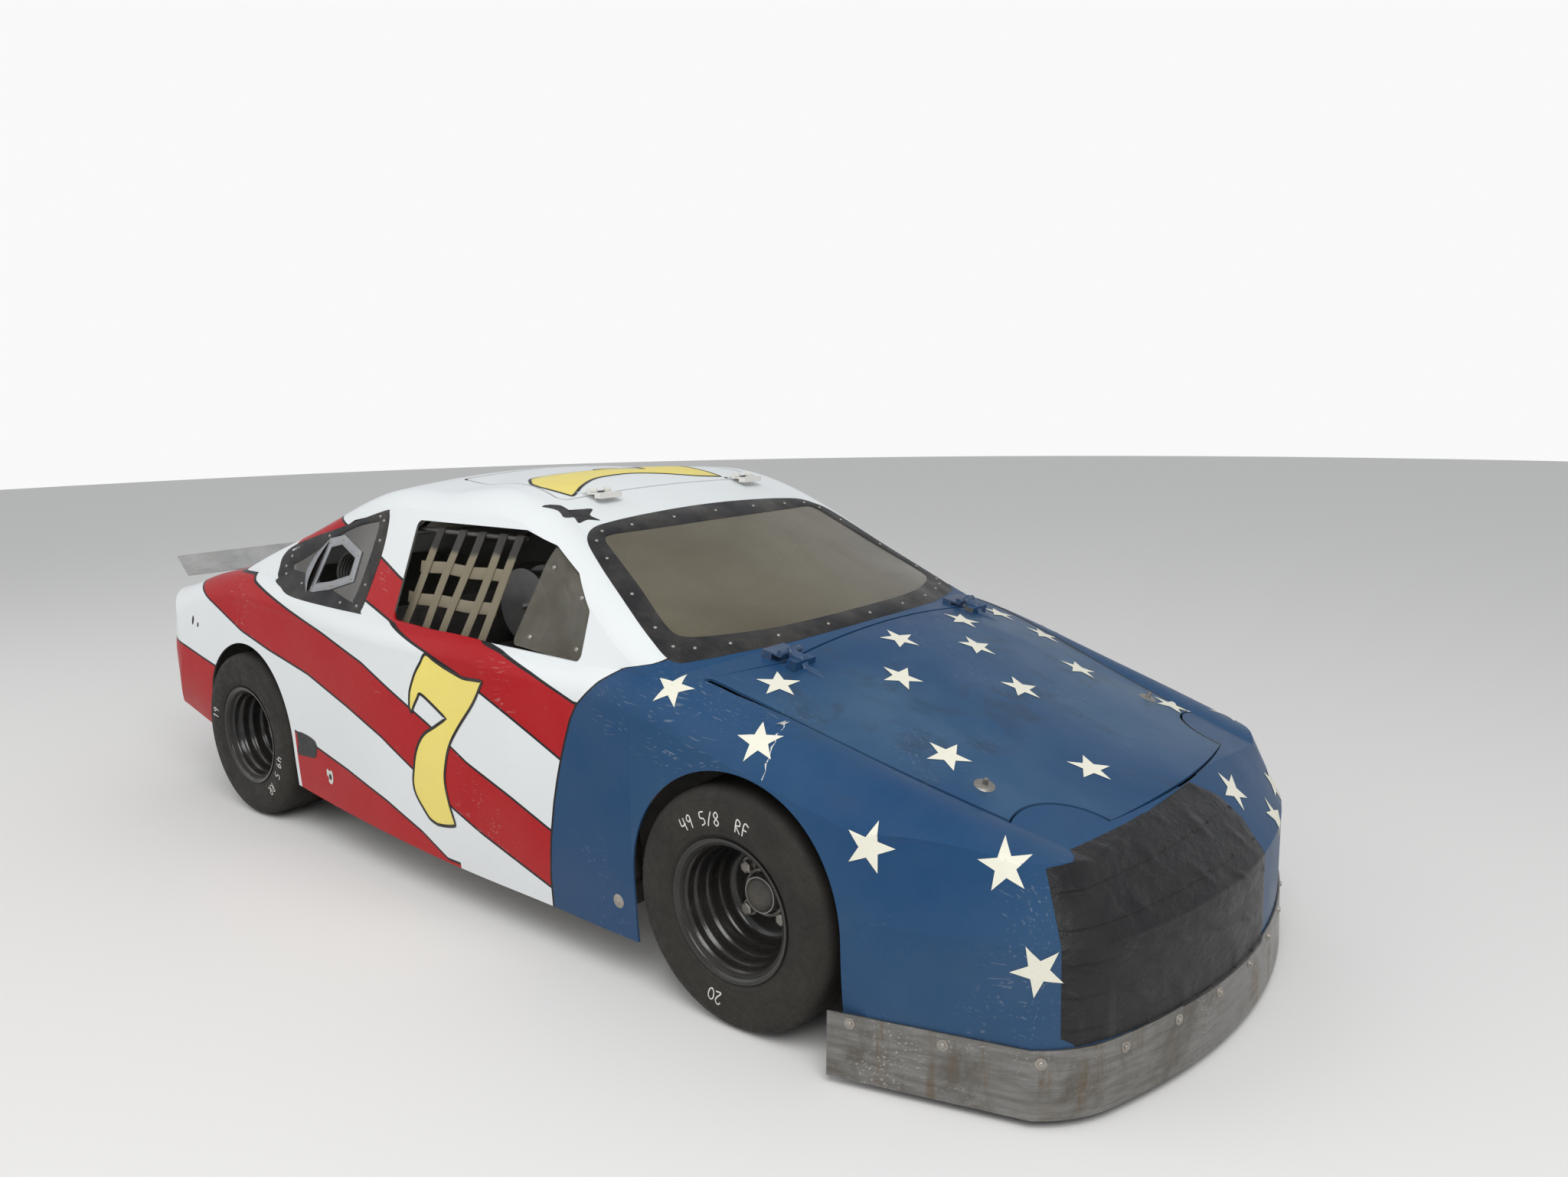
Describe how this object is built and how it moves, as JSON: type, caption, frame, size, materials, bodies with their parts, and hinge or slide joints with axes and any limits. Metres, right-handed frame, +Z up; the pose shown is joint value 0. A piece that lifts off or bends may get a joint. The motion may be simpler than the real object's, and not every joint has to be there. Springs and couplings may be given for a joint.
{
  "type": "half-scale circle track stock car",
  "caption": "Small closed stock car for oval tracks, moulded panels over a tube cage, steered front wheels, live rear axle, opening hood and roof hatch.",
  "frame": {"origin": "on the ground under the middle of the car, halfway along it and on its centre line", "axes": "+X towards the nose, +Y to the left side of the car, +Z up"},
  "size_m": [2.6999, 1.075, 0.8254],
  "materials": {
    "body_white": "white moulded panel, gloss gone, with road dust",
    "body_blue": "dark blue moulded panel, faded and scratched",
    "hinge_steel": "plated steel, dull",
    "windshield_glazing": "clear plastic sheet under a film of brown dust",
    "smoked_glazing": "smoked plastic sheet",
    "clear_glazing": "clear plastic sheet, dusty",
    "bare_aluminium": "bare sheet, scuffed",
    "black_tape": "matt black tape, creased",
    "bare_steel": "bare steel, dull",
    "black_steel": "satin black paint",
    "wheel_steel": "black paint on steel wheels, chipped",
    "tyre": "slick rubber, brown with dust",
    "steering_grip": "black grip",
    "seat_shell": "bare formed sheet",
    "engine_block": "dark casting",
    "vent_metal": "dull grey frame",
    "duct_plastic": "black duct",
    "webbing": "tan and black webbing straps"
  },
  "bodies": {
    "chassis": {"air_cleaner": "bare_steel", "axle_carriers": "bare_aluminium", "bulkheads": "bare_aluminium", "cage_bars": "black_steel", "cross_rails": "black_steel", "dash_panel": "bare_aluminium", "engine": "engine_block", "floor_pan": "bare_aluminium", "frame_rails": "black_steel", "frame_struts": "black_steel", "front_axle": "black_steel", "front_clip": "body_blue", "front_valance": "bare_aluminium", "greenhouse": "body_white", "grille_cover": "black_tape", "panel_hinges": "hinge_steel", "quarter_windows": "smoked_glazing", "rear_clip": "body_white", "rear_window": "windshield_glazing", "roll_cage": "black_steel", "seat": "seat_shell", "side_panel_left": "body_white", "side_panel_right": "body_white", "spoiler": "bare_aluminium", "spring_units": "black_steel", "steering_rack": "bare_aluminium", "vent_duct": "duct_plastic", "window_net_left": "webbing", "window_net_right": "webbing", "window_vent": "vent_metal", "windshield": "windshield_glazing", "wing_windows": "clear_glazing"},
    "hood": {"hood": "body_blue"},
    "roof_hatch": {"roof_hatch": "body_white"},
    "steering": {"steering_wheel": "steering_grip", "steering_shaft": "bare_steel"},
    "knuckle_left": {"knuckle_left": "black_steel"},
    "knuckle_right": {"knuckle_right": "black_steel"},
    "tie_rod": {"tie_rod": "bare_steel"},
    "front_wheel_left": {"hub_front_left": "bare_steel", "rim_front_left": "wheel_steel", "tyre_front_left": "tyre"},
    "front_wheel_right": {"hub_front_right": "bare_steel", "rim_front_right": "wheel_steel", "tyre_front_right": "tyre"},
    "rear_wheels": {"rear_axle": "bare_steel", "rim_rear_left": "wheel_steel", "tyre_rear_left": "tyre", "rim_rear_right": "wheel_steel", "tyre_rear_right": "tyre"}
  },
  "joints": [
    {"name": "hood_hinge", "type": "hinge", "parent": "chassis", "child": "hood", "pos_m": [0.6665, 0, 0.5625], "axis": [0, -1, 0], "range_deg": [0, 60]},
    {"name": "hatch_hinge", "type": "hinge", "parent": "chassis", "child": "roof_hatch", "pos_m": [0.131, 0, 0.804], "axis": [0, 1, 0], "range_deg": [0, 100]},
    {"name": "steering_turn", "type": "hinge", "parent": "chassis", "child": "steering", "pos_m": [0.065, 0.165, 0.475], "axis": [0.8923, 0, -0.4515], "range_deg": [-60, 60]},
    {"name": "knuckle_left_turn", "type": "hinge", "parent": "chassis", "child": "knuckle_left", "pos_m": [0.72, 0.372, 0.199], "axis": [0, 0, 1], "range_deg": [-20.2, 20.2]},
    {"name": "knuckle_right_turn", "type": "hinge", "parent": "chassis", "child": "knuckle_right", "pos_m": [0.72, -0.372, 0.199], "axis": [0, 0, 1], "range_deg": [-20.2, 20.2]},
    {"name": "tie_rod_slide", "type": "slide", "parent": "chassis", "child": "tie_rod", "axis": [0, 1, 0], "range_m": [-0.0248, 0.0248]},
    {"name": "front_wheel_left_spin", "type": "hinge", "parent": "knuckle_left", "child": "front_wheel_left", "pos_m": [0.72, 0.372, 0.199], "axis": [0, 1, 0], "continuous": true},
    {"name": "front_wheel_right_spin", "type": "hinge", "parent": "knuckle_right", "child": "front_wheel_right", "pos_m": [0.72, -0.372, 0.199], "axis": [0, 1, 0], "continuous": true},
    {"name": "rear_axle_spin", "type": "hinge", "parent": "chassis", "child": "rear_wheels", "pos_m": [-0.85, 0, 0.199], "axis": [0, 1, 0], "continuous": true}
  ],
  "couplings": [
    {"joint": "knuckle_left_turn", "follows": "steering_turn", "ratio": -0.33333},
    {"joint": "knuckle_right_turn", "follows": "steering_turn", "ratio": -0.33333},
    {"joint": "tie_rod_slide", "follows": "steering_turn", "m_per_rad": 0.023333}
  ]
}
